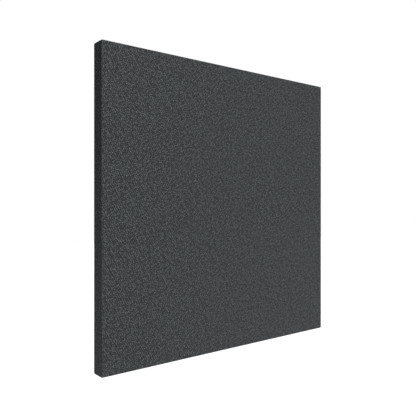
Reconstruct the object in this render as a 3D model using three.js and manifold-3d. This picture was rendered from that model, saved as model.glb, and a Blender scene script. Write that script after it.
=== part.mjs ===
// Wall punch pad: a square striking panel of vinyl over two layers of foam on a plywood board. It hangs
// on a wall by five pairs of interlocking aluminium Z-clips, and lifts off them.
// Millimetres, +Z up. The wall's surface is the plane y = 0 and the striking face looks along -Y.
// The origin is on the wall, midway between the two screw slots of the upper centre wall clip.
import * as THREE from "three";
import { mergeVertices } from "three/addons/utils/BufferGeometryUtils.js";
import Module from "manifold-3d";

const wasm = await Module();
wasm.setup();

// Driving dimensions. A depth is a distance out from the wall.
const SIDE = 610; // the finished pad is square
const PAD_DEPTH = 31; // striking face to hem
const VINYL = 1;
const BOARD = 9;
const BASE_FOAM = 12;
const EDGE_RADIUS = 1.6; // where the cover turns from the face, or from the hem, to a side
const CORNER_RADIUS = 2.5; // of the pad's outline, seen from the front
const HEM = 40; // how far the cover is folded in over the board's back
const FIT = 0.1; // between pieces that are bonded or clamped together

const CLIP = { width: 60, sheet: 2, flange: 20, hook: 14, offset: 3.3, leadIn: 0.8 };
const STUD_SPACING = 406.4; // of the wall's studs, which the left and right clips line up with
const CLIP_ROW_SPACING = 350; // upper row of clips to lower row
const STOP_GAP = 0.1; // left between a web and the hook that rests on it
const WALL_SLOT = { radius: 2.75, travel: 4.5, x: 15 };
const PAD_HOLE = { radius: 2.3, x: 18 };

const SCREW = { shank: 2, length: 10, tip: 2.5, head: 4, headHeight: 2.4, recess: 1.3 };
const PILOT_RADIUS = 2.2;
const BUMPER = { radius: 12.5, topRadius: 11, lip: 1, recessRadius: 5.5, floor: 2.8, inset: 65 };
const BUMPER_TO_WALL = 0.3;

const STAPLE = { crown: 12, wire: 1, width: 1.2, leg: 6, point: 0.5 };
const STAPLES_PER_SIDE = 7;
const STAPLE_PITCH = 84;
const STAPLE_INSET = 20; // from the pad's edge to a staple's crown
const LEG_CLEARANCE = 0.2;

const ROUND_SEGMENTS = 16;
const BEVEL_SEGMENTS = 3;

// Derived: distances out from the wall, then heights.
const BOARD_BACK = 2 * CLIP.offset - FIT; // a clip of each kind, back to back, hooks side by side
const HEM_BACK = BOARD_BACK - VINYL;
const FACE = HEM_BACK + PAD_DEPTH;
const BOARD_FRONT = BOARD_BACK + FIT + BOARD;
const BASE_FOAM_FRONT = BOARD_FRONT + BASE_FOAM;
const CLIP_STEP = CLIP.flange + 2 * CLIP.sheet + CLIP.hook + STOP_GAP; // wall clip up to its pad clip
const PAD_CENTRE_Z = (CLIP_STEP - CLIP_ROW_SPACING) / 2;

const MATERIALS = {
  vinyl: new THREE.MeshStandardMaterial({ color: 0x444647, roughness: 0.62, metalness: 0 }),
  faceFoam: new THREE.MeshStandardMaterial({ color: 0x5b6064, roughness: 0.9, metalness: 0 }),
  baseFoam: new THREE.MeshStandardMaterial({ color: 0x23262a, roughness: 0.85, metalness: 0 }),
  plywood: new THREE.MeshStandardMaterial({ color: 0xc9a877, roughness: 0.7, metalness: 0 }),
  aluminium: new THREE.MeshStandardMaterial({ color: 0xb9bcc0, roughness: 0.38, metalness: 1 }),
  steel: new THREE.MeshStandardMaterial({ color: 0xc3c5c4, roughness: 0.3, metalness: 1 }),
  rubber: new THREE.MeshStandardMaterial({ color: 0x1b1b1c, roughness: 0.8, metalness: 0 }),
};

// A three.js geometry as a manifold-3d solid, for cutting and joining.
function solidOf(geometry) {
  const bare = new THREE.BufferGeometry().setAttribute("position", geometry.getAttribute("position"));
  const merged = mergeVertices(geometry.index ? bare.setIndex(geometry.index) : bare, 1e-4);
  return new wasm.Manifold(
    new wasm.Mesh({
      numProp: 3,
      vertProperties: merged.getAttribute("position").array,
      triVerts: new Uint32Array(merged.index.array),
    }),
  );
}

function geometryOf(solid) {
  const { vertProperties, triVerts } = solid.getMesh();
  const indexed = new THREE.BufferGeometry()
    .setAttribute("position", new THREE.BufferAttribute(vertProperties, 3))
    .setIndex(new THREE.BufferAttribute(triVerts, 1));
  const flat = indexed.toNonIndexed();
  flat.computeVertexNormals();
  return flat;
}

function cut(solid, tools) {
  return tools.reduce((left, tool) => left.subtract(tool), solid);
}

function roundedRectangle(width, height, radius) {
  const x = width / 2 - radius;
  const y = height / 2 - radius;
  const quarter = Math.PI / 2;
  return new THREE.Shape()
    .absarc(x, y, radius, 0, quarter)
    .absarc(-x, y, radius, quarter, 2 * quarter)
    .absarc(-x, -y, radius, 2 * quarter, 3 * quarter)
    .absarc(x, -y, radius, 3 * quarter, 4 * quarter);
}

// A square block between two depths, with its outline's corners and all its edges rounded.
function roundedBlock(side, back, front, cornerRadius, edgeRadius) {
  const inner = side - 2 * edgeRadius;
  const geometry = new THREE.ExtrudeGeometry(roundedRectangle(inner, inner, cornerRadius - edgeRadius), {
    depth: front - back - 2 * edgeRadius,
    bevelThickness: edgeRadius,
    bevelSize: edgeRadius,
    bevelSegments: BEVEL_SEGMENTS,
    curveSegments: BEVEL_SEGMENTS,
  });
  return solidOf(geometry.rotateX(Math.PI / 2).translate(0, -(back + edgeRadius), 0));
}

function box(width, height, back, front, x = 0, z = 0) {
  const geometry = new THREE.BoxGeometry(width, front - back, height);
  return solidOf(geometry.translate(x, -(back + front) / 2, z));
}

function hole(radius, back, front, x, z) {
  const geometry = new THREE.CylinderGeometry(radius, radius, front - back, ROUND_SEGMENTS);
  return solidOf(geometry.translate(x, -(back + front) / 2, z));
}

// Where each side's staples sit, and which way their crowns lie, round the pad's centre.
function staplePlaces() {
  const reach = SIDE / 2 - STAPLE_INSET;
  const sides = { top: [0, reach], bottom: [0, -reach], left: [-reach, 0], right: [reach, 0] };
  return Object.entries(sides).flatMap(([side, [x, z]]) =>
    Array.from({ length: STAPLES_PER_SIDE }, (_, i) => {
      const along = (i - (STAPLES_PER_SIDE - 1) / 2) * STAPLE_PITCH;
      const upright = x !== 0;
      return { name: `staple_${side}_${i + 1}`, x: upright ? x : along, z: upright ? along : z, upright };
    }),
  );
}

function staple() {
  const half = STAPLE.crown / 2;
  const inside = half - STAPLE.wire;
  const middle = half - STAPLE.wire / 2;
  const shoulder = STAPLE.point - STAPLE.leg;
  const outline = [
    [-half, STAPLE.wire], [-half, shoulder], [-middle, -STAPLE.leg], [-inside, shoulder], [-inside, 0],
    [inside, 0], [inside, shoulder], [middle, -STAPLE.leg], [half, shoulder], [half, STAPLE.wire],
  ];
  const shape = new THREE.Shape(outline.map(([x, y]) => new THREE.Vector2(x, y)));
  const geometry = new THREE.ExtrudeGeometry(shape, { depth: STAPLE.width, bevelEnabled: false });
  return geometry.translate(0, 0, -STAPLE.width / 2);
}

// The slits that the staples' legs make between two depths.
function legSlits(back, front) {
  const middle = (STAPLE.crown - STAPLE.wire) / 2;
  const across = STAPLE.wire + 2 * LEG_CLEARANCE;
  const along = STAPLE.width + 2 * LEG_CLEARANCE;
  return staplePlaces().flatMap(({ x, z, upright }) =>
    [-middle, middle].map((shift) =>
      upright
        ? box(along, across, back, front, x, z + shift)
        : box(across, along, back, front, x + shift, z),
    ),
  );
}

function vinylCover() {
  const outside = roundedBlock(SIDE, HEM_BACK, FACE, CORNER_RADIUS, EDGE_RADIUS);
  const inside = roundedBlock(
    SIDE - 2 * VINYL,
    BOARD_BACK,
    FACE - VINYL,
    CORNER_RADIUS - VINYL,
    EDGE_RADIUS - VINYL,
  );
  const window = SIDE - 2 * HEM;
  const back = box(window, window, HEM_BACK - VINYL, BOARD_BACK + VINYL);
  return cut(outside, [inside, back, ...legSlits(HEM_BACK - VINYL, BOARD_BACK + VINYL)]);
}

// Everything inside the cover, as one block that the board and the foams are sliced from.
function coreSlice(back, front) {
  const inset = VINYL + FIT;
  const core = roundedBlock(
    SIDE - 2 * inset,
    HEM_BACK + inset,
    FACE - inset,
    CORNER_RADIUS - inset,
    EDGE_RADIUS - inset,
  );
  return core.intersect(box(SIDE, SIDE, back, front));
}

function bumperPlaces() {
  const reach = SIDE / 2 - BUMPER.inset;
  return ["upper", "lower"].flatMap((row) =>
    ["left", "right"].map((column) => ({
      name: `${row}_${column}`,
      x: column === "left" ? -reach : reach,
      z: row === "lower" ? -reach : reach,
    })),
  );
}

// Where the wall clips' flanges are centred.
function clipPlaces() {
  const side = STUD_SPACING / 2;
  return [
    { name: "upper_left", x: -side, z: 0 },
    { name: "upper_centre", x: 0, z: 0 },
    { name: "upper_right", x: side, z: 0 },
    { name: "lower_left", x: -side, z: -CLIP_ROW_SPACING },
    { name: "lower_right", x: side, z: -CLIP_ROW_SPACING },
  ];
}

// Where the pad clips' flanges are centred, round the pad's centre.
function padClipPlaces() {
  return clipPlaces().map(({ name, x, z }) => ({ name, x, z: z + CLIP_STEP - PAD_CENTRE_Z }));
}

function backingBoard() {
  const back = BOARD_BACK + FIT;
  const clipPilots = padClipPlaces().flatMap(({ x, z }) => [
    [x - PAD_HOLE.x, z],
    [x + PAD_HOLE.x, z],
  ]);
  const bumperPilots = bumperPlaces().map(({ x, z }) => [x, z]);
  const pilots = [...clipPilots, ...bumperPilots].map(([x, z]) =>
    hole(PILOT_RADIUS, back - 1, BOARD_FRONT + 1, x, z),
  );
  const slits = legSlits(back - 1, HEM_BACK + STAPLE.leg + LEG_CLEARANCE);
  return cut(coreSlice(back, BOARD_FRONT), [...pilots, ...slits]);
}

// A clip's section in (y, z): a flange on the wall, a web out from its top, and a hook that stands up
// clear of the wall, with its inner tip eased to guide the other clip in. Extruded along X.
function clipBlank() {
  const { width, sheet, flange, hook, offset, leadIn } = CLIP;
  const low = -flange / 2;
  const webUnder = flange / 2;
  const webTop = webUnder + sheet;
  const tip = webTop + hook;
  const outline = [
    [0, low], [0, webTop], [-offset, webTop], [-offset, tip - 2 * leadIn], [-offset - leadIn, tip],
    [-offset - sheet, tip], [-offset - sheet, webUnder], [-sheet, webUnder], [-sheet, low],
  ];
  const shape = new THREE.Shape(outline.map(([y, z]) => new THREE.Vector2(y, z)));
  const geometry = new THREE.ExtrudeGeometry(shape, { depth: width, bevelEnabled: false });
  const turn = new THREE.Matrix4().makeBasis(
    new THREE.Vector3(0, 1, 0),
    new THREE.Vector3(0, 0, 1),
    new THREE.Vector3(1, 0, 0),
  );
  return solidOf(geometry.applyMatrix4(turn).translate(-width / 2, 0, 0));
}

function wallClip() {
  const { radius, travel, x } = WALL_SLOT;
  const front = CLIP.sheet + 1;
  const slots = [-x, x].flatMap((middle) => [
    hole(radius, -1, front, middle - travel / 2, 0),
    hole(radius, -1, front, middle + travel / 2, 0),
    box(travel, 2 * radius, -1, front, middle, 0),
  ]);
  return cut(clipBlank(), slots);
}

function padClip() {
  const { radius, x } = PAD_HOLE;
  return cut(clipBlank(), [-x, x].map((middle) => hole(radius, -1, CLIP.sheet + 1, middle, 0)));
}

// A pan-head wood screw. Its head's underside is at y = 0 and its point is along -Y.
function screw() {
  const { shank, length, tip, head, headHeight, recess } = SCREW;
  const profile = [
    [0, -length], [shank, tip - length], [shank, 0], [head, 0],
    [head, 0.4 * headHeight], [0.85 * head, 0.8 * headHeight], [0.55 * head, headHeight], [0, headHeight],
  ];
  const body = new THREE.LatheGeometry(
    profile.map(([r, y]) => new THREE.Vector2(r, y)),
    ROUND_SEGMENTS,
  );
  const slot = [1.1 * head, 0.28 * head];
  const cross = [slot, [...slot].reverse()].map(([x, z]) =>
    solidOf(new THREE.BoxGeometry(x, 2 * recess, z).translate(0, headHeight, 0)),
  );
  return cut(solidOf(body), cross);
}

// A rubber bumper with a recess for its screw. It stands on the board at y = 0 and faces the wall.
function bumper() {
  const { radius, topRadius, lip, recessRadius, floor } = BUMPER;
  const height = BOARD_BACK - BUMPER_TO_WALL;
  const profile = [
    [PILOT_RADIUS, 0], [radius, 0], [radius, lip], [topRadius, height - lip], [topRadius - lip, height],
    [recessRadius, height], [recessRadius, floor], [PILOT_RADIUS, floor], [PILOT_RADIUS, 0],
  ];
  return new THREE.LatheGeometry(
    profile.map(([r, y]) => new THREE.Vector2(r, y)),
    ROUND_SEGMENTS,
  );
}

function mesh(name, geometry, material, x = 0, y = 0, z = 0) {
  const made = new THREE.Mesh(geometry, material);
  made.name = name;
  made.position.set(x, y, z);
  return made;
}

function layers() {
  const board = geometryOf(backingBoard());
  const baseFoam = geometryOf(coreSlice(BOARD_FRONT + FIT, BASE_FOAM_FRONT));
  const faceFoam = geometryOf(coreSlice(BASE_FOAM_FRONT + FIT, FACE));
  return [
    mesh("vinyl_cover", geometryOf(vinylCover()), MATERIALS.vinyl),
    mesh("face_foam", faceFoam, MATERIALS.faceFoam),
    mesh("base_foam", baseFoam, MATERIALS.baseFoam),
    mesh("backing_board", board, MATERIALS.plywood),
  ];
}

function staples() {
  const geometry = staple();
  return staplePlaces().map(({ name, x, z, upright }) => {
    const made = mesh(name, geometry, MATERIALS.steel, x, FIT - HEM_BACK, z);
    made.rotation.y = upright ? Math.PI / 2 : 0;
    return made;
  });
}

function padClips() {
  const clipGeometry = geometryOf(padClip());
  const screwGeometry = geometryOf(screw());
  const headY = CLIP.sheet + FIT - BOARD_BACK;
  return padClipPlaces().flatMap(({ name, x, z }) => {
    const clip = mesh(`pad_clip_${name}`, clipGeometry, MATERIALS.aluminium, x, -BOARD_BACK, z);
    clip.rotation.x = Math.PI;
    const screws = [x - PAD_HOLE.x, x + PAD_HOLE.x].map((screwX, i) =>
      mesh(`pad_clip_${name}_screw_${i + 1}`, screwGeometry, MATERIALS.steel, screwX, headY, z),
    );
    return [clip, ...screws];
  });
}

function wallClips() {
  const geometry = geometryOf(wallClip());
  return clipPlaces().map(({ name, x, z }) =>
    mesh(`wall_clip_${name}`, geometry, MATERIALS.aluminium, x, 0, z),
  );
}

function bumpers() {
  const bumperGeometry = bumper();
  const screwGeometry = geometryOf(screw());
  const headY = BUMPER.floor + FIT - BOARD_BACK;
  return bumperPlaces().flatMap(({ name, x, z }) => [
    mesh(`bumper_${name}`, bumperGeometry, MATERIALS.rubber, x, -BOARD_BACK, z),
    mesh(`bumper_screw_${name}`, screwGeometry, MATERIALS.steel, x, headY, z),
  ]);
}

const pad = new THREE.Group();
pad.position.z = PAD_CENTRE_Z;
pad.add(...layers(), ...staples(), ...padClips(), ...bumpers());

const wallPunchPad = new THREE.Group();
wallPunchPad.add(pad, ...wallClips());

export default wallPunchPad;
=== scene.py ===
"""Wall punch pad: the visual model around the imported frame. Everything is in metres.

The pad's own coordinates, used by the shape code, are x to the right, z up from the pad's centre, and
d, the distance out from the wall.
"""
import math
import random

import bpy
import numpy as np
from mathutils import Matrix, Vector


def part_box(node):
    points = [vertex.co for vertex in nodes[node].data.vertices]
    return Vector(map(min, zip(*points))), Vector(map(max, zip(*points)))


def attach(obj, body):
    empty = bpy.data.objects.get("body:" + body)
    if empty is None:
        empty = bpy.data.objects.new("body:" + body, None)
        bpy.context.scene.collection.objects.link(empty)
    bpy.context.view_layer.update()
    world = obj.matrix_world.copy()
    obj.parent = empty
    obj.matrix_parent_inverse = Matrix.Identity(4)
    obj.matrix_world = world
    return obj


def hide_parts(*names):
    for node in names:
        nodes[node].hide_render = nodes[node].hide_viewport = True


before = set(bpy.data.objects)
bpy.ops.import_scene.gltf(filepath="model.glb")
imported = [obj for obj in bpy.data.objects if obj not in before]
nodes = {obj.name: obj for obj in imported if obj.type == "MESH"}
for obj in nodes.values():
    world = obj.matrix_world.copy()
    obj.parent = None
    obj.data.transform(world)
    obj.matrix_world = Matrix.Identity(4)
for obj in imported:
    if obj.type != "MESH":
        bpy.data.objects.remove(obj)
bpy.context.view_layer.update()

MM = 0.001

# ------------------------------------------------------------------ places that come from the frame
cover_low, cover_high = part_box("vinyl_cover")
CENTRE = Vector(((cover_low.x + cover_high.x) / 2, 0, (cover_low.z + cover_high.z) / 2))
HALF = (cover_high.x - cover_low.x) / 2
FACE_D = -cover_low.y
HEM_D = -cover_high.y

# ------------------------------------------------------------------ driving sizes
VINYL = 1.0 * MM
ARRIS = 1.6 * MM  # radius of the cover's front and back edges
CORNER = 2.5 * MM  # radius of the pad's outline, seen from the front
HEM = 40 * MM  # width of the cover folded over the board's back
PEBBLE = 2.8 * MM  # the vinyl's grain, from one pebble to the next
COVER_GRID = (0.45 * MM, 4.7 * MM, 1.22)  # the mesh's finest and coarsest spacing, and its growth between
FOAM_GRID = (0.8 * MM, 7 * MM, 1.3)

CROWN = 0.8 * MM  # how far the face may stand proud of the CAD face
SWELL_KNEE = 0.16  # the share of the free swell at which the foam's grip flattens it
SWELL_LINES = 27  # grid lines of the simulated sheet, from its edge to its middle
SWELL_STEPS = 20  # steps of the simulation

FLAP = 0.85 * MM  # how much the tongue folded in at each corner lifts the flap over it
FLAP_SINK = 0.06 * MM  # how far the cover sinks between the flap and the corner
FLAP_ROUNDING = 0.35  # the share of that lift that the flap's folded edge loses
FLAP_ROUNDED = 0.6 * MM  # how far the rounding reaches in from the folded edge
FOLD_AT = 1.6 * MM  # from the corner's diagonal to the flap's folded edge
FAN_DEPTH = 0.16 * MM  # depth of the creases that fan out from each corner
FAN_REACH = 26 * MM
FAN_CREASES = 11
HEM_SLACK = 0.25 * MM  # how far the hem stands off the board between its staples
HEM_PUCKER = 0.6 * MM  # and how much further at its cut edge
HEM_CREASE = 0.10 * MM
STAPLE_PULL = 8 * MM  # how far along the hem a staple holds it down
STAPLE_GRIP = 4 * MM  # how far to each side of the row of staples
HEM_WAVES = (0.11, 0.07)  # lengths of the hem's puckers, creases and cut edge, longest first
CREASE_WAVES = (0.019, 0.013, 0.009)
TRIM_WAVES = (0.31, 0.12, 0.045)
TRIM_DEPTH = 0.9 * MM  # how far the hand-cut edge wanders
STAPLES_PER_GAP = 3  # staples here for each step between two staples of the frame
MITRE_INSET = 3 * MM  # how far inside the rows the staple across each mitre sits

SCREW_HEAD = 2.4 * MM  # height of a screw's head

FLOOR_DROP = 1.2  # the pad's centre hangs this far above the floor
FLOOR_REACH = 14.0  # from the pad to the floor's edges
WORLD_LIGHT = 0.12  # how strongly the white surround lights the object
CAMERA_YAW = 38.382  # degrees from straight in front of the pad, towards its left
CAMERA_DISTANCE = 1.8413  # along the line of sight, in sides of the pad, like the next two
CAMERA_LEFT = 0.0625
CAMERA_UP = 0.014
CAMERA_LENS = 44.39
CAMERA_SHIFT = -0.0098


# ------------------------------------------------------------------ mesh helpers
def mesh_data(name, vertices, faces, smooth=True):
    data = bpy.data.meshes.new(name)
    data.from_pydata([tuple(v) for v in vertices], [], faces)
    data.validate()
    data.update()
    data.polygons.foreach_set("use_smooth", [smooth] * len(data.polygons))
    return data


def mesh_object(name, vertices, faces, smooth=True):
    obj = bpy.data.objects.new(name, mesh_data(name, vertices, faces, smooth))
    bpy.context.scene.collection.objects.link(obj)
    return obj


def to_row_frame(points):
    """Points (x, z, d) round the pad's centre, as rows of the frame's x, y, z."""
    x, z, d = points[:, 0], points[:, 1], points[:, 2]
    return np.column_stack([x + CENTRE.x, -d, z + CENTRE.z])


def smoothstep(low, high, value):
    t = np.clip((value - low) / (high - low), 0, 1)
    return t * t * (3 - 2 * t)


def graded_gaps(length, finest, coarsest, growth):
    """Distances from an edge, 0 to length: finest apart at the edge, and growing to the coarsest."""
    gaps, step, at = [0.0], finest, 0.0
    nearly_there = 0.98 * length
    while at + step < nearly_there:
        at += step
        gaps.append(at)
        step = min(step * growth, coarsest)
    gaps.append(length)
    return np.array(gaps)


def ring_columns(gaps, half, radius, edge=20 * MM):
    """Points round a square ring with rounded corners: x, z, outward x, outward z, side, position along
    the side and distance from the nearest corner's diagonal, one row for each column.

    The columns near a corner stand at the same distances from it on every ring, whatever its size.
    """
    quarter = half - radius + radius * math.pi / 4
    near = np.minimum(gaps, edge)
    far = np.maximum(gaps - edge, 0) * (quarter - edge) / (gaps[-1] - edge)
    from_corner = near + far
    reach = quarter - from_corner
    signed = np.concatenate([-reach, reach[-2::-1]])[:-1]
    from_corner = np.concatenate([from_corner, from_corner[-2::-1]])[:-1]
    turn = np.clip((np.abs(signed) - (half - radius)) / max(radius, 1e-9), 0, math.pi / 4)
    along = np.sign(signed) * (np.minimum(np.abs(signed), half - radius) + radius * np.sin(turn))
    out = half - radius + radius * np.cos(turn)
    lean = np.sign(signed) * np.sin(turn)
    rows = []
    for side, (ax, az, nx, nz) in enumerate([(1, 0, 0, -1), (0, 1, 1, 0), (-1, 0, 0, 1), (0, -1, -1, 0)]):
        x = along * ax + out * nx
        z = along * az + out * nz
        out_x = lean * ax + np.cos(turn) * nx
        out_z = lean * az + np.cos(turn) * nz
        direction = ax + az  # so that "along" grows with x or z on every side
        rows.append(
            np.column_stack([x, z, out_x, out_z, np.full(len(x), side), along * direction, from_corner])
        )
    return np.concatenate(rows)


def face_grid(gaps, ring):
    """A square grid whose boundary is the ring: its points, its quads, and the boundary's indices."""
    half = ring[:, 0].max()
    at = half - gaps
    lines = np.concatenate([-at, at[-2::-1]])
    count = len(lines)
    x, z = np.meshgrid(lines, lines, indexing="ij")
    points = np.column_stack([x.ravel(), z.ravel()])
    index = np.arange(count * count).reshape(count, count)
    loop = np.concatenate([index[:-1, 0], index[-1, :-1], index[:0:-1, -1], index[0, :0:-1]])
    points[loop] = ring[:, :2]
    quads = np.stack([index[:-1, :-1], index[1:, :-1], index[1:, 1:], index[:-1, 1:]], axis=-1)
    return points, quads.reshape(-1, 4), loop


def ring_quads(upper, lower):
    """Quads between two loops of indices, facing out where the loops run anticlockwise."""
    return np.column_stack([upper, lower, np.roll(lower, -1), np.roll(upper, -1)])


def profile_rings(half, front, back, arris, corner, hem, steps):
    """The rings of a wrapped block, from the edge of its face to the end of its hem. Each is a dict with
    its half size, corner radius, depth, the profile's normal (out, d) and the distance q from the face.
    """
    arc_steps, side_steps, hem_steps = steps
    flat = half - arris
    rings = []
    q = 0.0

    def add(h, radius, d, normal_out, normal_d, step):
        nonlocal q
        q += step
        rings.append(dict(half=h, radius=radius, d=d, out=normal_out, normal_d=normal_d, q=q))

    arc = arris * math.pi / 2 / arc_steps
    for i in range(arc_steps + 1):
        a = math.pi / 2 * i / arc_steps
        add(flat + arris * math.sin(a), corner - arris + arris * math.sin(a),
            front - arris + arris * math.cos(a), math.sin(a), math.cos(a), arc if i else 0)
    length = front - back - 2 * arris
    for i in range(1, side_steps):
        add(half, corner, front - arris - length * i / side_steps, 1, 0, length / side_steps)
    for i in range(arc_steps + 1):
        a = math.pi / 2 * i / arc_steps
        add(flat + arris * math.cos(a), corner - arris + arris * math.cos(a),
            back + arris - arris * math.sin(a), math.cos(a), -math.sin(a),
            arc if i else length / side_steps)
    inward = hem - arris
    for i in range(1, hem_steps + 1):
        add(flat - inward * i / hem_steps, corner - arris, back, 0, -1, inward / hem_steps)
    return rings


# ------------------------------------------------------------------ how the face swells: cloth simulation
def simulated_swell():
    """How far a stretched sheet, held by its hem, swells under the foam's push: a coarse square grid of
    heights from 0 to 1, and its grid lines.
    """
    gaps = np.linspace(0, HALF - ARRIS, SWELL_LINES)
    rings = profile_rings(HALF, FACE_D, HEM_D, ARRIS, CORNER, HEM, (2, 3, 3))
    columns = [ring_columns(gaps, r["half"], r["radius"]) for r in rings]
    grid, quads, loop = face_grid(gaps, columns[0])
    points = [np.column_stack([grid, np.full(len(grid), FACE_D)])]
    faces = [quads]
    upper = loop
    held = []
    for r, column in zip(rings[1:], columns[1:]):
        start = sum(len(p) for p in points)
        lower = np.arange(start, start + len(column))
        points.append(np.column_stack([column[:, :2], np.full(len(column), r["d"])]))
        faces.append(ring_quads(upper, lower))
        upper = lower
        if r["out"] < 0.99:  # all but the flat sides: the rounded edges and the hem
            held.extend(lower.tolist())
    vertices = to_row_frame(np.concatenate(points))
    sheet = mesh_object("swell_test", vertices, np.concatenate(faces).tolist())
    group = sheet.vertex_groups.new(name="held")
    group.add(held, 1.0, "REPLACE")
    cloth = sheet.modifiers.new("cloth", "CLOTH")
    cloth.settings.quality = 6
    cloth.settings.mass = 0.4
    cloth.settings.tension_stiffness = 60
    cloth.settings.compression_stiffness = 60
    cloth.settings.shear_stiffness = 30
    cloth.settings.bending_stiffness = 8
    cloth.settings.vertex_group_mass = "held"
    cloth.settings.use_pressure = True
    cloth.settings.uniform_pressure_force = 4
    cloth.settings.effector_weights.gravity = 0
    cloth.collision_settings.use_collision = False
    cloth.point_cache.frame_start = 1
    cloth.point_cache.frame_end = SWELL_STEPS
    for step in range(1, SWELL_STEPS + 1):
        bpy.context.scene.frame_set(step)
    evaluated = sheet.evaluated_get(bpy.context.evaluated_depsgraph_get())
    moved = np.array([v.co for v in evaluated.data.vertices])[: len(grid)]
    height = (-moved[:, 1] - FACE_D).clip(0)
    bpy.data.objects.remove(sheet)
    bpy.context.scene.frame_set(1)
    side = int(round(math.sqrt(len(grid))))
    lines = grid[:, 0].reshape(side, side)[:, side // 2]
    return lines, height.reshape(side, side) / max(height.max(), 1e-9)


swell_lines, swell = simulated_swell()


def crown(x, z):
    """How far the face stands proud at x, z: level over the middle, falling away towards the edges."""
    level = 1 - np.exp(-swell / SWELL_KNEE)
    i = np.clip(np.searchsorted(swell_lines, x) - 1, 0, len(swell_lines) - 2)
    j = np.clip(np.searchsorted(swell_lines, z) - 1, 0, len(swell_lines) - 2)
    s = np.clip((x - swell_lines[i]) / (swell_lines[i + 1] - swell_lines[i]), 0, 1)
    t = np.clip((z - swell_lines[j]) / (swell_lines[j + 1] - swell_lines[j]), 0, 1)
    low = level[i, j] * (1 - s) + level[i + 1, j] * s
    high = level[i, j + 1] * (1 - s) + level[i + 1, j + 1] * s
    return CROWN * (low * (1 - t) + high * t)


# ------------------------------------------------------------------ the cover's folds, puckers and cut edge
BOTTOM, RIGHT, TOP, LEFT = SIDES = range(4)
SIDE_NAMES = ("bottom", "right", "top", "left")


def node_middle(name):
    low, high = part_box(name)
    return (low + high) / 2


def staple_nodes(side):
    return sorted(name for name in nodes if name.startswith(f"staple_{SIDE_NAMES[side]}_"))


def staple_positions(side):
    """Where a side's staples are along it, measured from the pad's middle: the frame has every third one."""
    middles = [node_middle(name) - CENTRE for name in staple_nodes(side)]
    found = sorted(middle.x if side in (BOTTOM, TOP) else middle.z for middle in middles)
    return np.linspace(found[0], found[-1], STAPLES_PER_GAP * (len(found) - 1) + 1)


COVER_STEPS = (6, 14, 16)  # rings round the front edge and the back edge, down the side, and on the hem
cover_rings = profile_rings(HALF, FACE_D, HEM_D, ARRIS, CORNER, HEM, COVER_STEPS)
# Along the cover's surface: from the edge of its flat face to its flat hem, and from there to the staples.
SIDE_END = next(r["q"] for r in cover_rings if r["normal_d"] < -0.999)
STAPLE_ROW = HALF - ARRIS - (node_middle("staple_top_1").z - CENTRE.z)
staple_spots = [staple_positions(side) for side in SIDES]


def wander(along, side, lengths, seed):
    """A smooth value between about -1 and 1 along a side, the same on each run, from waves of the lengths."""
    source = random.Random(seed * 10 + side)
    total = sum(
        math.sqrt(length / lengths[0]) * np.sin(2 * math.pi * (along / length + source.random()))
        for length in lengths
    )
    return total / sum(math.sqrt(length / lengths[0]) for length in lengths)


def cover_lift(column, ring):
    """How far each column of a ring is lifted off the block, along the profile's normal."""
    q = ring["q"]
    side, along, from_corner = column[:, 4], column[:, 5], column[:, 6]
    gap = HALF - np.abs(along)  # along the side, to the corner
    lift = np.zeros(len(column))
    flap_side = (side == TOP) | (side == BOTTOM)
    on_flap = from_corner >= FOLD_AT
    past_face = smoothstep(1 * MM, 14 * MM, q)  # folds start at the face's edge and grow down the side
    tongue = smoothstep(-1.5 * MM, 2.5 * MM, q - gap)  # the tongue's end runs at 45 degrees from the corner
    rounding = 1 - FLAP_ROUNDING * np.exp(-(from_corner - FOLD_AT).clip(0) / FLAP_ROUNDED)
    folded = np.where(on_flap, FLAP * tongue * rounding, -FLAP_SINK)
    lift += np.where(flap_side, folded * past_face, 0)
    reach = np.hypot(gap, q)
    fan = np.sin(np.arctan2(gap, q) * FAN_CREASES + np.sign(along)) * np.exp(-reach / FAN_REACH)
    lift += np.where(flap_side & on_flap, FAN_DEPTH * fan * past_face, 0)
    on_hem = smoothstep(SIDE_END - 8 * MM, SIDE_END + 6 * MM, q)
    towards_cut = smoothstep(SIDE_END, SIDE_END + HEM, q)
    near_row = math.exp(-(((q - SIDE_END - STAPLE_ROW) / STAPLE_GRIP) ** 2))
    for k in SIDES:
        mask = side == k
        at = along[mask]
        nearest = np.abs(at[:, None] - staple_spots[k][None, :]).min(axis=1) / STAPLE_PULL
        free = 1 - np.exp(-(nearest ** 2))
        pressed = np.exp(-(nearest ** 4)) * near_row
        loose = 0.65 + 0.35 * wander(at, k, HEM_WAVES, 3)  # some puckers stand higher than others
        puckers = HEM_SLACK * on_hem + HEM_PUCKER * towards_cut * free * loose
        creases = HEM_CREASE * on_hem * free * wander(at, k, CREASE_WAVES, 5)
        lift[mask] += (puckers + creases) * (1 - pressed)
    return lift


def trim_shift(column, ring):
    """How far the hem's cut edge wanders inwards or outwards, from being trimmed by hand."""
    side, along = column[:, 4], column[:, 5]
    weight = smoothstep(SIDE_END + 10 * MM, SIDE_END + HEM - ARRIS, ring["q"])
    shift = np.zeros(len(column))
    for k in SIDES:
        mask = side == k
        settle = smoothstep(0, 25 * MM, HALF - HEM - np.abs(along[mask]))
        shift[mask] = TRIM_DEPTH * wander(along[mask], k, TRIM_WAVES, 7) * settle
    return shift * weight


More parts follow.
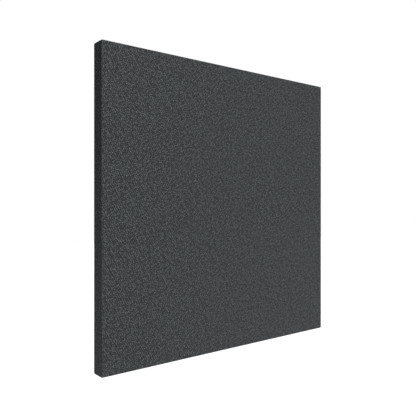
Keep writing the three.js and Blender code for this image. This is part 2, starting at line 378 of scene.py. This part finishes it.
def build_cover():
    """The cover: one closed sheet 1 mm thick, over the face, round the sides and folded in at the back."""
    gaps = graded_gaps(HALF - ARRIS, *COVER_GRID)
    points, faces = [], []
    total = 0

    def add(rows):
        nonlocal total
        points.append(rows)
        total += len(rows)
        return np.arange(total - len(rows), total)

    loops = {}
    for skin, depth in (("outer", 0.0), ("inner", VINYL)):
        previous = None
        for number, ring in enumerate(cover_rings):
            radius = max(ring["radius"] - depth * ring["out"], 0.4 * MM)
            inward = ring_columns(gaps, ring["half"] - depth * ring["out"], radius)
            if number == 0:
                grid, quads, loop = face_grid(gaps, inward)
                height = crown(grid[:, 0], grid[:, 1])
                ids = add(np.column_stack([grid, ring["d"] - depth + height]))
                faces.append(ids[quads] if skin == "outer" else ids[quads][:, ::-1])
                previous = ids[loop]
                continue
            column = ring_columns(gaps, ring["half"], ring["radius"])
            lift = cover_lift(column, ring)
            outwards = lift * ring["out"] + trim_shift(column, ring)
            x = inward[:, 0] + column[:, 2] * outwards
            z = inward[:, 1] + column[:, 3] * outwards
            d = ring["d"] + ring["normal_d"] * (lift - depth)
            ids = add(np.column_stack([x, z, d]))
            quads = ring_quads(previous, ids)
            faces.append(quads if skin == "outer" else quads[:, ::-1])
            previous = ids
        loops[skin] = previous
    skin_points = np.concatenate(points)
    middle = add((skin_points[loops["outer"]] + skin_points[loops["inner"]]) / 2)
    cut = [ring_quads(loops["outer"], middle), ring_quads(middle, loops["inner"])]
    skins = np.concatenate(faces)
    cover = mesh_object("padded_cover", to_row_frame(np.concatenate(points)),
                        np.concatenate([skins, *cut]).tolist())
    backing = np.zeros(len(skins) + 2 * len(cut[0]), int)
    backing[len(skins) // 2:len(skins)] = 1
    backing[len(skins) + len(cut[0]):] = 1
    cover.data.materials.append(vinyl_material())
    cover.data.materials.append(backing_material())
    cover.data.polygons.foreach_set("material_index", backing)
    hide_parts("vinyl_cover")
    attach(cover, "pad")


# ------------------------------------------------------------------ foams, under the cover
def build_foam(name, node, material, front_follows_face):
    """A die-cut slab of foam: its edges are rounded over and its sides pull in a little between them."""
    low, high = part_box(node)
    front, back, half = -low.y, -high.y, (high.x - low.x) / 2
    edge = 1.2 * MM
    pull = 0.5 * MM
    gaps = graded_gaps(half - edge, *FOAM_GRID)
    rings = profile_rings(half, front, back, edge, CORNER - VINYL, 2 * edge, (4, 8, 1))[:-1]
    points, faces, total, previous = [], [], 0, None
    for number, ring in enumerate(rings):
        column = ring_columns(gaps, ring["half"], ring["radius"])
        if number == 0:
            grid, quads, loop = face_grid(gaps, column)
            height = crown(grid[:, 0], grid[:, 1]) if front_follows_face else 0 * grid[:, 0]
            points.append(np.column_stack([grid, front + height]))
            faces.append(quads)
            previous, total = loop, len(grid)
            continue
        middle = 1 - abs(2 * (ring["d"] - back) / (front - back) - 1)
        inward = pull * middle * ring["out"]
        x = column[:, 0] - column[:, 2] * inward
        z = column[:, 1] - column[:, 3] * inward
        points.append(np.column_stack([x, z, np.full(len(column), ring["d"])]))
        lower = np.arange(total, total + len(column))
        faces.append(ring_quads(previous, lower))
        previous, total = lower, total + len(column)
    grid, quads, loop = face_grid(gaps, ring_columns(gaps, rings[-1]["half"], rings[-1]["radius"]))
    inner = np.setdiff1d(np.arange(len(grid)), loop)
    index = np.empty(len(grid), int)
    index[loop] = previous
    index[inner] = total + np.arange(len(inner))
    points.append(np.column_stack([grid[inner], np.full(len(inner), back)]))
    faces.append(index[quads][:, ::-1])
    foam = mesh_object(name, to_row_frame(np.concatenate(points)), np.concatenate(faces).tolist())
    foam.data.materials.append(material)
    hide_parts(node)
    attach(foam, "pad")


# ------------------------------------------------------------------ materials
class Surface:
    """A procedural material: a Principled surface, and short ways to feed it from object coordinates."""

    def __init__(self, name, base, roughness, metallic=0.0):
        self.material = bpy.data.materials.new(name)
        self.material.use_nodes = True
        self.tree = self.material.node_tree
        self.tree.nodes.clear()
        self.shader = self.tree.nodes.new("ShaderNodeBsdfPrincipled")
        output = self.tree.nodes.new("ShaderNodeOutputMaterial")
        self.tree.links.new(self.shader.outputs["BSDF"], output.inputs["Surface"])
        self.set(**{"Base Color": (*base, 1), "Roughness": roughness, "Metallic": metallic})
        self.place = self.tree.nodes.new("ShaderNodeTexCoord").outputs["Object"]

    def set(self, **values):
        for name, value in values.items():
            if isinstance(value, bpy.types.NodeSocket):
                self.tree.links.new(value, self.shader.inputs[name])
            else:
                self.shader.inputs[name].default_value = value

    def node(self, kind, inputs, output=0, **settings):
        made = self.tree.nodes.new(kind)
        for name, value in settings.items():
            setattr(made, name, value)
        for name, value in inputs.items():
            if isinstance(value, bpy.types.NodeSocket):
                self.tree.links.new(value, made.inputs[name])
            else:
                made.inputs[name].default_value = value
        return made.outputs[output]

    def math(self, operation, a, b=0.0, c=0.0):
        return self.node("ShaderNodeMath", {0: a, 1: b, 2: c}, operation=operation)

    def stretch(self, scale, place=None):
        return self.node("ShaderNodeMapping", {"Vector": place or self.place, "Scale": scale})

    def noise(self, cell, detail=2.0, roughness=0.5, place=None):
        return self.node("ShaderNodeTexNoise", {
            "Vector": place or self.place, "Scale": 1 / cell, "Detail": detail, "Roughness": roughness},
            "Fac")

    def cells(self, cell, feature, place=None, output="Distance", chance=1.0, flat=False):
        return self.node("ShaderNodeTexVoronoi", {
            "Vector": place or self.place, "Scale": 1 / cell, "Randomness": chance},
            output, feature=feature, voronoi_dimensions="2D" if flat else "3D")

    def wobble(self, cell, amount, place=None):
        """The coordinates, pushed about by noise, so that a pattern on them isn't regular."""
        start = place or self.place
        push = self.node("ShaderNodeTexNoise", {"Vector": start, "Scale": 1 / cell, "Detail": 1.0}, "Color")
        centred = self.node("ShaderNodeVectorMath", {0: push, 1: (0.5, 0.5, 0.5)}, operation="SUBTRACT")
        scaled = self.node("ShaderNodeVectorMath", {0: centred, "Scale": amount}, operation="SCALE")
        return self.node("ShaderNodeVectorMath", {0: start, 1: scaled}, operation="ADD")

    def between(self, value, low, high, to_low=0.0, to_high=1.0):
        return self.node("ShaderNodeMapRange", {
            "Value": value, "From Min": low, "From Max": high, "To Min": to_low, "To Max": to_high},
            interpolation_type="SMOOTHSTEP")

    def blend(self, share, a, b, how="MIX"):
        """Colour a where share is 0 and b where it is 1. The numbers are the Mix node's colour sockets."""
        a, b = ((*colour, 1) if isinstance(colour, tuple) else colour for colour in (a, b))
        return self.node("ShaderNodeMix", {0: share, 6: a, 7: b}, 2, data_type="RGBA", blend_type=how)

    def bump(self, height, distance):
        return self.node("ShaderNodeBump", {"Height": height, "Distance": distance})


def unwrapped(s):
    """Coordinates of the vinyl laid out flat: x and z on the face, carried on round the sides and hem.

    The part of the sheet beyond each edge belongs to the nearer side, so the layout changes at the mitres.
    """
    x, y, z = (s.node("ShaderNodeSeparateXYZ", {"Vector": s.place}, axis) for axis in "XYZ")
    depth = s.math("MAXIMUM", s.math("ADD", y, FACE_D), 0.0)
    behind = s.math("GREATER_THAN", depth, (FACE_D - HEM_D) / 2)
    x = s.math("SUBTRACT", x, CENTRE.x)
    z = s.math("SUBTRACT", z, CENTRE.z)
    from_middle = [s.math("ABSOLUTE", value) for value in (x, z)]
    flat = []
    for value, mine, other in ((x, *from_middle), (z, *reversed(from_middle))):
        in_from_edge = s.math("SUBTRACT", HALF, mine)
        round_edge = s.math("MULTIPLY_ADD", in_from_edge, s.math("MULTIPLY", behind, 2.0), depth)
        nearer = s.math("GREATER_THAN", mine, other)
        way = s.math("MULTIPLY", nearer, s.math("SIGN", value))
        flat.append(s.math("MULTIPLY_ADD", round_edge, way, value))
    return s.node("ShaderNodeCombineXYZ", {"X": flat[0], "Y": flat[1]})


def vinyl_material():
    """Charcoal vinyl with an embossed grain: low oval pebbles of uneven height, parted by creases that
    painted shade darkens, with a painted highlight lightening the pebbles' tops.
    """
    s = Surface("vinyl_grain", (0.03, 0.032, 0.033), 0.55)
    # painted shade and painted highlight: the colour put in the grooves for their shade, and the colour put
    # on the pebbles' tops for the light they catch
    groove_shade_colour, pebble_highlight_colour = (0.0081, 0.0088, 0.0091), (0.0782, 0.0906, 0.0935)
    disorder = 0.72  # 0 is a regular grid of pebbles and 1 is scattered at random
    loose = s.wobble(3 * PEBBLE, 0.3 * PEBBLE, unwrapped(s))
    slanted = s.node("ShaderNodeMapping", {
        "Vector": loose, "Scale": (1.4, 0.88, 1), "Rotation": (0, 0, math.radians(30))},
        vector_type="TEXTURE")
    ragged = s.wobble(0.5 * PEBBLE, 0.25 * PEBBLE, slanted)
    to_edge = s.cells(PEBBLE, "DISTANCE_TO_EDGE", ragged, chance=disorder, flat=True)
    from_middle = s.cells(PEBBLE, "F1", ragged, chance=disorder, flat=True)
    outside_groove_shade = s.between(to_edge, 0.02, 0.26)  # 0 along the grooves, where painted shade darkens the colour
    dome_highlight = s.between(from_middle, 0.2, 0.55, 1.0, 0.0)  # 1 on the top of each of the pebbles, where a painted highlight lightens the colour
    colour_of_cell = s.cells(PEBBLE, "F1", ragged, "Color", disorder, flat=True)
    lot = s.node("ShaderNodeSeparateColor", {"Color": colour_of_cell}, "Red")  # how pale each one is, at random, which scales its painted highlight
    clump = s.between(s.noise(1.6 * PEBBLE, detail=1.0, place=ragged), 0.36, 0.64)  # and its neighbours
    tone = s.math("ADD", s.math("MULTIPLY", lot, 0.18), s.math("MULTIPLY_ADD", clump, 0.72, 0.1))
    # painted highlight on the pebbles' tops, parted by painted shade in the grooves, scaled by each one's
    # random tone
    pebble_highlight_and_tone = s.math("MULTIPLY", s.math("MULTIPLY", outside_groove_shade, dome_highlight), tone)
    wrinkles = s.between(s.cells(0.3 * PEBBLE, "DISTANCE_TO_EDGE", loose, flat=True), 0.0, 0.2)
    fine = s.noise(0.35 * MM, detail=3.0)
    shoulder = s.math("MULTIPLY", s.between(to_edge, 0.0, 0.16), s.between(from_middle, 0.1, 0.8, 1.0, 0.55))
    height = s.math("MULTIPLY_ADD", wrinkles, 0.05, shoulder)
    height = s.math("MULTIPLY_ADD", fine, 0.05, height)
    # the colour, with painted shade in the grooves and a painted highlight on the tops
    colour = s.blend(pebble_highlight_and_tone, groove_shade_colour, pebble_highlight_colour)
    broad = s.between(s.noise(90 * MM, detail=2.0), 0.3, 0.7)
    broad_tone = s.blend(broad, (0.985, 0.985, 0.985), (1.015, 1.015, 1.015))
    s.set(**{
        "Base Color": s.blend(1.0, colour, broad_tone, "MULTIPLY"),
        "Roughness": s.between(pebble_highlight_and_tone, 0.0, 1.0, 0.72, 0.5),
        "Normal": s.bump(height, 0.6 * MM),
        "Specular IOR Level": 0.25,
    })
    return s.material


def backing_material():
    """The knitted polyester on the vinyl's wrong side, which shows at its cut edge."""
    s = Surface("vinyl_knit_backing", (0.5, 0.49, 0.46), 0.95)
    along = s.node("ShaderNodeTexWave", {"Vector": s.place, "Scale": 260.0, "Distortion": 0.6},
                   "Fac", bands_direction="X")
    across = s.node("ShaderNodeTexWave", {"Vector": s.place, "Scale": 330.0, "Distortion": 0.6},
                    "Fac", bands_direction="Z")
    knit = s.math("MULTIPLY", along, across)
    s.set(**{
        "Base Color": s.blend(knit, (0.22, 0.215, 0.2), (0.46, 0.45, 0.42)),
        "Normal": s.bump(knit, 0.2 * MM),
    })
    return s.material


def foam_material(name, light, hollow_shade_colour, cell):
    """Closed-cell foam: a fine pitted skin with knife marks from splitting the sheet."""
    s = Surface(name, light, 0.9)
    pits = s.between(s.cells(cell, "F1"), 0.15, 0.75)
    knife = s.noise(1.0, detail=2.0, place=s.stretch((5, 5, 400)))
    height = s.math("ADD", s.math("MULTIPLY", pits, 0.7), s.math("MULTIPLY", knife, 0.4))
    s.set(**{
        # painted shade: the colour darkens in the bump's hollows, the pits and the low bands of the knife
        # marks
        "Base Color": s.blend(s.between(height, 0.2, 0.9), hollow_shade_colour, light),
        "Normal": s.bump(height, 0.25 * MM),
    })
    return s.material


def plywood_material():
    """Birch plywood: a rotary-cut face with arched figure and fine pores, and seven plies at the edge."""
    s = Surface("birch_plywood", (0.55, 0.4, 0.25), 0.62)
    two_plies = 2.57 * MM
    bent = s.wobble(160 * MM, 40 * MM)
    figure = s.noise(1.0, detail=2.0, roughness=0.35, place=s.stretch((9, 20, 0.8), place=bent))
    bands = s.math("SINE", s.math("MULTIPLY", figure, 120.0))
    arches = s.between(bands, -1.0, 1.0)
    pores = s.noise(1.0, detail=2.0, roughness=0.7, place=s.stretch((1500, 300, 60)))
    streaks = s.noise(1.0, detail=3.0, place=s.stretch((260, 40, 5)))
    face = s.blend(arches, (0.495, 0.340, 0.194), (0.60, 0.435, 0.272))
    face = s.blend(s.between(streaks, 0.42, 0.72), face, (0.52, 0.365, 0.215))
    face = s.blend(s.between(pores, 0.58, 0.74, 0.0, 0.55), face, (0.30, 0.19, 0.10))
    layer = s.node("ShaderNodeSeparateXYZ", {"Vector": s.place}, "Y")
    plies = s.math("SINE", s.math("MULTIPLY", layer, 2 * math.pi / two_plies))
    edge = s.blend(s.between(plies, -0.3, 0.3), (0.36, 0.24, 0.13), (0.56, 0.41, 0.25))
    normal = s.node("ShaderNodeTexCoord", {}, "Normal")
    facing = s.math("ABSOLUTE", s.node("ShaderNodeSeparateXYZ", {"Vector": normal}, "Y"))
    height = s.math("SUBTRACT", s.math("MULTIPLY", streaks, 0.6), s.between(pores, 0.58, 0.74))
    s.set(**{
        "Base Color": s.blend(s.math("GREATER_THAN", facing, 0.5), edge, face),
        "Roughness": s.between(arches, 0.0, 1.0, 0.56, 0.7),
        "Normal": s.bump(height, 0.08 * MM),
    })
    return s.material


def aluminium_material():
    """Satin anodised aluminium with the faint lines of its extrusion."""
    s = Surface("anodised_aluminium", (0.56, 0.57, 0.58), 0.36, metallic=1.0)
    lines = s.noise(1.0, detail=4.0, roughness=0.65, place=s.stretch((6, 900, 900)))
    patches = s.noise(30 * MM, detail=3.0)
    line_roughness = s.between(lines, 0.3, 0.7, 0.28, 0.42)
    patch_roughness = s.between(patches, 0.3, 0.7, 0, 0.05)
    s.set(**{
        "Base Color": s.blend(s.between(patches, 0.3, 0.7), (0.50, 0.51, 0.52), (0.60, 0.61, 0.62)),
        "Roughness": s.math("ADD", line_roughness, patch_roughness),
        "Normal": s.bump(lines, 0.03 * MM),
    })
    return s.material


def zinc_material(name, base, tint, roughness):
    """Plated steel: bright, with faintly clouded and yellowed patches."""
    s = Surface(name, base, roughness, metallic=1.0)
    cloud = s.noise(2.2 * MM, detail=3.0)
    s.set(**{
        "Base Color": s.blend(s.between(cloud, 0.35, 0.7), base, tint),
        "Roughness": s.between(cloud, 0.3, 0.7, roughness - 0.06, roughness + 0.14),
        "Normal": s.bump(s.noise(0.5 * MM, detail=2.0), 0.02 * MM),
    })
    return s.material


def rubber_material():
    """Moulded black rubber with a fine matt texture and a little dust in its hollows."""
    s = Surface("moulded_rubber", (0.022, 0.022, 0.023), 0.72)
    grain = s.noise(0.6 * MM, detail=3.0, roughness=0.6)
    dust = s.between(s.noise(6 * MM, detail=3.0), 0.45, 0.8)
    s.set(**{
        "Base Color": s.blend(dust, (0.018, 0.018, 0.019), (0.038, 0.037, 0.035)),
        "Roughness": s.between(grain, 0.3, 0.7, 0.62, 0.82),
        "Normal": s.bump(grain, 0.06 * MM),
    })
    return s.material


# ------------------------------------------------------------------ hardware
def circle(radius, y, segments):
    """Points round a circle about Y."""
    angles = [2 * math.pi * i / segments for i in range(segments)]
    return [(radius * math.cos(a), y, radius * math.sin(a)) for a in angles]


def lathe_mesh(name, profile, segments):
    """A ring-shaped solid turned about Y from a closed outline of (radius, y) points."""
    vertices = [point for radius, y in profile for point in circle(radius, y, segments)]
    faces = []
    for k in range(len(profile)):
        a = k * segments
        b = (k + 1) % len(profile) * segments
        for i in range(segments):
            j = (i + 1) % segments
            faces.append((a + i, a + j, b + j, b + i))
    return mesh_data(name, vertices, faces)


def rounded(profile, radius, steps=4):
    """The profile with its inner corners rounded over by curves that start a radius from each corner."""
    made = [profile[0]]
    for before, at, after in zip(profile, profile[1:], profile[2:]):
        at_v, b, a = Vector(at), Vector(before) - Vector(at), Vector(after) - Vector(at)
        reach = min(radius, b.length * 0.45, a.length * 0.45)
        start, end = at_v + b.normalized() * reach, at_v + a.normalized() * reach
        for i in range(steps + 1):
            t = i / steps
            made.append(tuple((1 - t) ** 2 * start + 2 * t * (1 - t) * at_v + t * t * end))
    return made + [profile[-1]]


def screw_mesh():
    """A pan-head wood screw with a cross recess and a thread. Its head's underside is at y = 0."""
    shank, head, length, tip = 1.95 * MM, 4 * MM, 9.9 * MM, 2.5 * MM
    pitch, root, plain_neck = 1.5 * MM, 1.35 * MM, 0.7 * MM
    blunt_tip, ridge_half_width, ridge_sharpness = 0.12, 0.28, 1.3
    segments, thread_rows = 32, 65
    rows = []
    for i in range(thread_rows):
        y = -length + i * (length - plain_neck) / (thread_rows - 1)
        taper = min(1.0, (y + length) / tip + blunt_tip)
        row = []
        for k in range(segments):
            a = 2 * math.pi * k / segments
            turn = (y / pitch - k / segments) % 1.0
            ridge = max(0.0, 1 - abs(turn - 0.5) / ridge_half_width)
            r = (root + (shank - root) * ridge ** ridge_sharpness) * taper
            row.append((r * math.cos(a), y, r * math.sin(a)))
        rows.append(row)
    outline = rounded([(shank, -0.6 * MM), (shank, 0), (head, 0), (head, 0.35 * SCREW_HEAD),
                       (0.86 * head, 0.8 * SCREW_HEAD), (0.5 * head, SCREW_HEAD), (0.02 * head, SCREW_HEAD)],
                      0.35 * MM)
    rows += [circle(r, y, segments) for r, y in outline]
    vertices = [v for row in rows for v in row]
    point, crown_point = len(vertices), len(vertices) + 1
    vertices += [(0, -length - 0.1 * MM, 0), (0, SCREW_HEAD, 0)]
    faces = []
    last = (len(rows) - 1) * segments
    for k in range(segments):
        j = (k + 1) % segments
        faces.append((point, k, j))
        faces.append((crown_point, last + j, last + k))
        for r in range(len(rows) - 1):
            faces.append((r * segments + k, (r + 1) * segments + k, (r + 1) * segments + j, r * segments + j))
    body = mesh_object("screw_body", vertices, faces)
    bar, blade = 0.56 * head, 0.13 * head
    deepest, above = SCREW_HEAD - 1.35 * MM, SCREW_HEAD + 0.5 * MM
    square = ((-1, -1), (1, -1), (1, 1), (-1, 1))
    box_faces = [(0, 1, 2, 3), (7, 6, 5, 4), (0, 4, 5, 1), (1, 5, 6, 2), (2, 6, 7, 3), (3, 7, 4, 0)]
    for half_x, half_z in ((bar, blade), (blade, bar)):
        corners = [(sx * half_x * w, y, sz * half_z * w)
                   for y, w in ((deepest, 0.55), (above, 1.12)) for sx, sz in square]
        wedge = mesh_object("recess", corners, box_faces, smooth=False)
        cut = body.modifiers.new("recess", "BOOLEAN")
        cut.operation, cut.object, cut.solver = "DIFFERENCE", wedge, "EXACT"
        applied = bpy.data.meshes.new_from_object(body.evaluated_get(bpy.context.evaluated_depsgraph_get()))
        body.modifiers.clear()
        body.data = applied
        bpy.data.objects.remove(wedge)
    made = body.data
    bpy.data.objects.remove(body)
    made.set_sharp_from_angle(angle=math.radians(38))
    return made


def place_copies(data, names, prefix, material, y_of, turn_seed):
    """A copy of the mesh for each CAD node, with its origin at y_of(node), turned by chance about Y."""
    chance = random.Random(turn_seed)
    data.materials.append(material)
    for name in names:
        middle = node_middle(name)
        obj = bpy.data.objects.new(prefix + name, data)
        bpy.context.scene.collection.objects.link(obj)
        turn = Matrix.Rotation(chance.uniform(0, math.pi), 4, "Y")
        obj.matrix_world = Matrix.Translation((middle.x, y_of(name), middle.z)) @ turn
        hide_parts(name)
        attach(obj, "pad")


def build_screws():
    names = sorted(n for n in nodes if "_screw_" in n)
    material = zinc_material("zinc_plate", (0.66, 0.66, 0.64), (0.62, 0.6, 0.5), 0.3)
    place_copies(screw_mesh(), names, "detailed_", material,
                 lambda name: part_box(name)[1].y - SCREW_HEAD, 11)


def build_bumpers():
    names = sorted(n for n in nodes if n.startswith("bumper_") and "screw" not in n)
    low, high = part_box(names[0])
    height, radius, bore = high.y - low.y, (high.x - low.x) / 2, 2.25 * MM
    recess, floor, lip = 5.5 * MM, 2.8 * MM, 1.0 * MM
    outline = [(bore, 0), (radius, 0), (radius, lip), (radius - 1.5 * MM, height), (recess, height),
               (recess, floor), (bore, floor)]
    profile = rounded(outline, 0.9 * MM, 5)[::-1]
    place_copies(lathe_mesh("bumper", profile, 72), names, "moulded_", rubber_material(),
                 lambda name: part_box(name)[0].y, 13)


def squared(value):
    """A sine or cosine pushed out towards 1, which makes a circle a rounded square."""
    return math.copysign(abs(value) ** 0.45, value)


def staple_bar(points, width, thickness, across):
    """A flat wire with rounded edges along points in one plane; across is the direction of its width."""
    sections = 12
    rings = []
    for i, point in enumerate(points):
        before, after = points[max(i - 1, 0)], points[min(i + 1, len(points) - 1)]
        up = across.cross((after - before).normalized())
        taper = 0.45 if i in (0, len(points) - 1) else 1.0
        ring = []
        for k in range(sections):
            a = 2 * math.pi * (k + 0.5) / sections
            sideways = across * (width / 2 * squared(math.cos(a)) * taper)
            ring.append(point + sideways + up * (thickness / 2 * squared(math.sin(a)) * taper))
        rings.append(ring)
    vertices = [tuple(v) for ring in rings for v in ring]
    last = (len(rings) - 1) * sections
    faces = [tuple(range(sections)), tuple(reversed(range(last, last + sections)))]
    for r in range(len(rings) - 1):
        for k in range(sections):
            j = (k + 1) % sections
            faces.append((r * sections + j, r * sections + k, (r + 1) * sections + k, (r + 1) * sections + j))
    return vertices, faces


def staple_path(base, along, back_y, leg_y, half, wire, bow):
    """The middle line of a staple's wire: up one leg, round the bend, along the bowed crown and down."""
    bend = 0.9 * MM
    crown_y = back_y - wire / 2
    leg = [(half, leg_y), (half, leg_y + 0.5 * MM), (half, (leg_y + crown_y) / 2)]
    turn = [(half - bend * (1 - math.cos(a)), crown_y - bend * (1 - math.sin(a)))
            for a in np.linspace(0, math.pi / 2, 7)]
    one_side = leg + turn
    flat = half - bend
    crown_line = [(x, crown_y + bow * math.cos(math.pi * x / (2 * half)))
                  for x in np.linspace(flat, -flat, 9)[1:-1]]
    other_side = [(-x, y) for x, y in reversed(one_side)]
    return [base + along * x + Vector((0, y, 0)) for x, y in one_side + crown_line + other_side]


def staple_places(side, row):
    """The x, z and heading in degrees of each of a side's staples, round the pad's centre."""
    if side in (LEFT, RIGHT):
        return [(row, at, 90.0) for at in staple_spots[side]]
    corner = abs(row) - MITRE_INSET
    corner_z = math.copysign(corner, row)
    tilt = -45.0 if row > 0 else 45.0
    on_mitres = [(-corner, corner_z, tilt + 90), (corner, corner_z, tilt + 180)]
    return [(at, row, 0.0) for at in staple_spots[side]] + on_mitres


def build_staples():
    """Each side's staples as one piece: flat wire crowns, a little bowed and never quite in line.

    The top and bottom pieces also hold the staple set across the mitre at each of their corners.
    """
    material = zinc_material("galvanised_wire", (0.6, 0.6, 0.6), (0.5, 0.5, 0.49), 0.34)
    wire, width = 1.0 * MM, 1.2 * MM
    for side in (TOP, BOTTOM, LEFT, RIGHT):
        chance = random.Random("staples " + SIDE_NAMES[side])
        names = staple_nodes(side)
        low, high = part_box(names[0])
        half = max(high.x - low.x, high.z - low.z) / 2 - wire / 2
        level = side in (TOP, BOTTOM)
        row = ((low.z + high.z) / 2 - CENTRE.z) if level else ((low.x + high.x) / 2 - CENTRE.x)
        vertices, faces = [], []
        for number, (x, z, heading) in enumerate(staple_places(side, row)):
            turn = math.radians(heading + chance.uniform(-1.8, 1.8))
            along = Vector((math.cos(turn), 0, math.sin(turn)))
            keeps_line = level and number == 0
            off_line = 0.0 if keeps_line else chance.uniform(-0.4, 0.4) * MM
            base = Vector((CENTRE.x + x, 0, CENTRE.z + z)) + Vector((0, 1, 0)).cross(along) * off_line
            bow = chance.uniform(0.02, 0.10) * MM
            path = staple_path(base, along, high.y, low.y, half, wire, bow)
            v, f = staple_bar(path, width, wire, Vector((0, 1, 0)).cross(along))
            start = len(vertices)
            vertices += v
            faces += [tuple(start + k for k in face) for face in f]
        piece = mesh_object(f"staples_{SIDE_NAMES[side]}", vertices, faces)
        piece.data.materials.append(material)
        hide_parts(*names)
        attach(piece, "pad")


def soften_edges(obj, width, segments):
    """Rounds over the sharp edges of a CAD part, whose triangles have to be joined up first."""
    weld = obj.modifiers.new("join", "WELD")
    weld.merge_threshold = 0.001 * MM
    bevel = obj.modifiers.new("edges", "BEVEL")
    bevel.width, bevel.segments, bevel.limit_method = width, segments, "ANGLE"
    bevel.angle_limit = math.radians(40)
    bevel.harden_normals = True


def dress_cad_nodes():
    """Materials and softened edges for the CAD parts that stay as they are."""
    looks = {"clip": (aluminium_material(), 0.25 * MM), "board": (plywood_material(), 0.5 * MM)}
    for name, obj in nodes.items():
        slot = "clip" if "clip" in name else "board"
        if "screw" in name or slot not in name:
            continue
        material, edge = looks[slot]
        obj.data.materials.clear()
        obj.data.materials.append(material)
        soften_edges(obj, edge, 3)


# ------------------------------------------------------------------ the studio
def build_stage():
    """A pale floor under the hanging pad, and a white surround that the camera sees as pure white."""
    z = CENTRE.z - FLOOR_DROP
    corners = [(x * FLOOR_REACH, y * FLOOR_REACH, z) for x, y in ((-1, -1), (1, -1), (1, 1), (-1, 1))]
    floor = mesh_object("floor", corners, [(0, 1, 2, 3)], smooth=False)
    s = Surface("pale_floor", (0.9, 0.9, 0.9), 0.7)
    speckle = s.noise(40 * MM, detail=3.0)
    s.set(**{"Base Color": s.blend(speckle, (0.89, 0.89, 0.89), (0.92, 0.92, 0.92))})
    floor.data.materials.append(s.material)

    world = bpy.data.worlds.new("studio")
    bpy.context.scene.world = world
    world.use_nodes = True
    tree = world.node_tree
    tree.nodes.clear()
    seen = tree.nodes.new("ShaderNodeBackground")
    seen.inputs["Color"].default_value = (1, 1, 1, 1)
    seen.inputs["Strength"].default_value = 1.0
    lit = tree.nodes.new("ShaderNodeBackground")
    lit.inputs["Color"].default_value = (1, 1, 1, 1)
    lit.inputs["Strength"].default_value = WORLD_LIGHT
    rays = tree.nodes.new("ShaderNodeLightPath")
    mix = tree.nodes.new("ShaderNodeMixShader")
    output = tree.nodes.new("ShaderNodeOutputWorld")
    tree.links.new(rays.outputs["Is Camera Ray"], mix.inputs["Fac"])
    tree.links.new(lit.outputs["Background"], mix.inputs[1])
    tree.links.new(seen.outputs["Background"], mix.inputs[2])
    tree.links.new(mix.outputs["Shader"], output.inputs["Surface"])


def sun_light(name, towards, strength, spread):
    """A broad even light from far away; towards is the direction that it comes from."""
    data = bpy.data.lights.new(name, "SUN")
    data.energy = strength
    data.angle = math.radians(spread)
    obj = bpy.data.objects.new(name, data)
    bpy.context.scene.collection.objects.link(obj)
    obj.rotation_euler = Vector(towards).to_track_quat("Z", "Y").to_euler()


def build_lights():
    """One light on the face and one on the back, both high and from the right."""
    sun_light("key", (0.15, -1.0, 0.6), 4.6, 24)
    sun_light("back", (0.7, 1.0, 0.6), 2.4, 40)


def build_camera():
    """The photograph's viewpoint: well to the left of the pad, level with its middle and looking level."""
    yaw = math.radians(CAMERA_YAW)
    side = 2 * HALF
    forward = Vector((math.sin(yaw), math.cos(yaw), 0))
    right = Vector((math.cos(yaw), -math.sin(yaw), 0))
    middle = CENTRE + Vector((0, -(FACE_D + HEM_D) / 2, 0))
    data = bpy.data.cameras.new("camera")
    data.sensor_width = 36
    data.lens = CAMERA_LENS
    data.shift_y = CAMERA_SHIFT
    data.clip_start, data.clip_end = 0.05, 60
    obj = bpy.data.objects.new("camera", data)
    bpy.context.scene.collection.objects.link(obj)
    away = -CAMERA_DISTANCE * forward - CAMERA_LEFT * right + Vector((0, 0, CAMERA_UP))
    obj.location = middle + side * away
    obj.rotation_euler = (math.pi / 2, 0, -yaw)
    bpy.context.scene.camera = obj


def build_foams():
    # the face foam's paler colour, then its colour for painted shade in the hollows
    grey = foam_material("face_foam_skin", (0.19, 0.2, 0.21), (0.13, 0.14, 0.15), 1.1 * MM)
    build_foam("punch_face_foam", "face_foam", grey, True)
    # the base foam's paler colour, then its colour for painted shade in the hollows
    charcoal = foam_material("base_foam_skin", (0.03, 0.033, 0.037), (0.018, 0.02, 0.023), 0.8 * MM)
    build_foam("punch_base_foam", "base_foam", charcoal, False)


# ------------------------------------------------------------------ the whole
build_camera()
build_stage()
build_lights()
build_cover()
build_foams()
build_screws()
build_bumpers()
build_staples()
dress_cad_nodes()
bpy.context.scene.view_settings.view_transform = "Standard"
bpy.context.scene.view_settings.look = "None"

bpy.context.view_layer.update()
